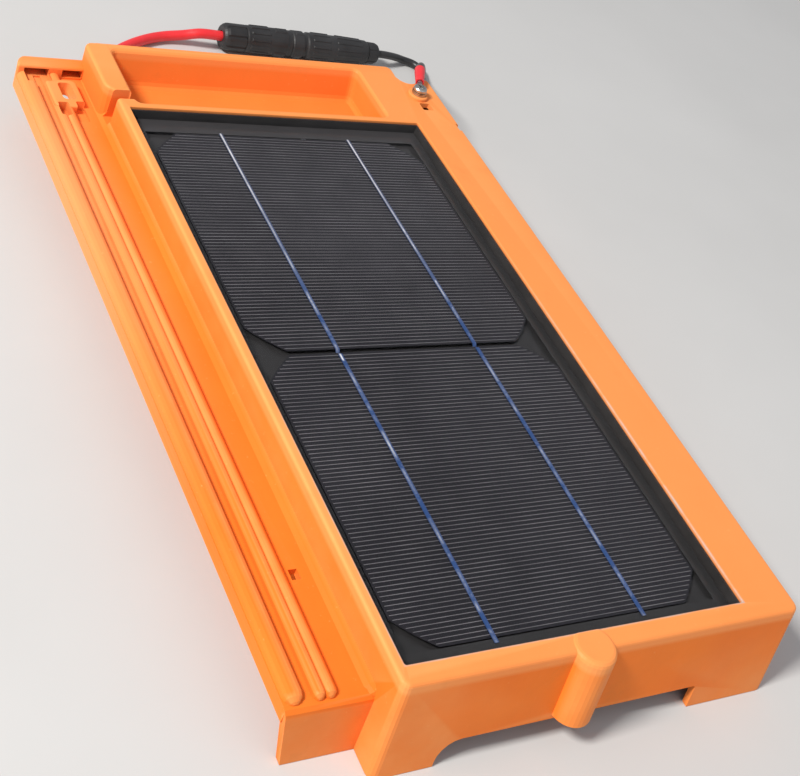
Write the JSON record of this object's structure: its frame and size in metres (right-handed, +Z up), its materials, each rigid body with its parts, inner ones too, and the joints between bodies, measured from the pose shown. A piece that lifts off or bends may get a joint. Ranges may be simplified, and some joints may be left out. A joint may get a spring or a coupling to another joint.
{
  "type": "solar roof tile",
  "caption": "Interlocking moulded roof tile with a flush two-cell photovoltaic laminate, junction box, screw terminal and a mated cable connector on short leads.",
  "frame": {"origin": "middle of the tile's bounding box, leads and connector left out, on the plane that its underside rests on", "axes": "+X across the tile from the interlock flange to the plain side, +Y up the slope towards the head trough, +Z up out of the glass"},
  "size_m": [0.2954, 0.4987, 0.053],
  "materials": {
    "orange_moulding": "satin moulded",
    "solar_glass": "smooth",
    "sealant": "matt",
    "silicon": "satin dark",
    "tinned_copper": "bright tinned",
    "black_film": "matt",
    "encapsulant": "clear",
    "box_plastic": "matt",
    "black_rubber": "matt",
    "brass": "bright",
    "red_cable": "satin",
    "black_cable": "satin",
    "zinc_steel": "zinc plated",
    "red_sleeve": "satin",
    "connector_plastic": "satin"
  },
  "bodies": {
    "tile": {"tile_shell": "orange_moulding", "glass": "solar_glass", "sealant": "sealant", "head_cell": "silicon", "front_cell": "silicon", "link_ribbon_left": "tinned_copper", "link_ribbon_right": "tinned_copper", "front_ribbon_left": "tinned_copper", "front_ribbon_right": "tinned_copper", "back_ribbon_left": "tinned_copper", "back_ribbon_right": "tinned_copper", "positive_bus": "tinned_copper", "negative_bus": "tinned_copper", "mask_film": "black_film", "backsheet": "black_film", "front_encapsulant": "encapsulant", "rear_encapsulant": "encapsulant", "junction_box": "box_plastic", "box_gasket": "black_rubber", "positive_clamp": "brass", "negative_clamp": "brass", "bypass_diode": "box_plastic", "red_gland": "black_rubber", "black_gland": "black_rubber", "red_inner_lead": "red_cable", "black_inner_lead": "black_cable", "cable_grommet": "black_rubber", "terminal_insert": "brass", "ring_terminal": "tinned_copper", "terminal_sleeve": "red_sleeve", "red_lead": "red_cable", "black_lead": "black_cable", "socket_body": "connector_plastic", "plug_body": "connector_plastic", "socket_seal": "black_rubber", "plug_seal": "black_rubber", "plug_o_ring": "black_rubber", "contact_socket": "tinned_copper", "contact_pin": "tinned_copper"},
    "terminal_washer": {"terminal_washer": "zinc_steel"},
    "terminal_screw": {"terminal_screw": "zinc_steel"},
    "box_lid": {"box_lid": "box_plastic"},
    "socket_clamp_ring": {"socket_clamp_ring": "connector_plastic"},
    "socket_nut": {"socket_nut": "connector_plastic"},
    "plug_clamp_ring": {"plug_clamp_ring": "connector_plastic"},
    "plug_nut": {"plug_nut": "connector_plastic"}
  },
  "joints": [
    {"name": "screw_lift", "type": "slide", "parent": "tile", "child": "terminal_washer", "axis": [0, 0, 1], "range_m": [0, 0.005]},
    {"name": "screw_turn", "type": "hinge", "parent": "terminal_washer", "child": "terminal_screw", "pos_m": [0.104, 0.1782, 0.05], "axis": [0, 0, 1], "range_deg": [0, 2600]},
    {"name": "lid_hinge", "type": "hinge", "parent": "tile", "child": "box_lid", "pos_m": [0.038, 0.1382, 0.0254], "axis": [1, 0, 0], "range_deg": [0, 90]},
    {"name": "socket_nut_travel", "type": "slide", "parent": "tile", "child": "socket_clamp_ring", "axis": [-0.999, 0.0453, 0], "range_m": [0, 0.004]},
    {"name": "socket_nut_turn", "type": "hinge", "parent": "socket_clamp_ring", "child": "socket_nut", "pos_m": [0.03649, 0.28308, 0.0089], "axis": [-0.999, 0.0453, 0], "range_deg": [0, 970]},
    {"name": "plug_nut_travel", "type": "slide", "parent": "tile", "child": "plug_clamp_ring", "axis": [0.999, -0.0453, 0], "range_m": [0, 0.004]},
    {"name": "plug_nut_turn", "type": "hinge", "parent": "plug_clamp_ring", "child": "plug_nut", "pos_m": [0.13339, 0.27869, 0.0089], "axis": [0.999, -0.0453, 0], "range_deg": [0, 970]}
  ],
  "couplings": [
    {"joint": "screw_turn", "follows": "screw_lift", "rad_per_m": 8976},
    {"joint": "socket_nut_turn", "follows": "socket_nut_travel", "rad_per_m": 4188.8},
    {"joint": "plug_nut_turn", "follows": "plug_nut_travel", "rad_per_m": 4188.8}
  ]
}
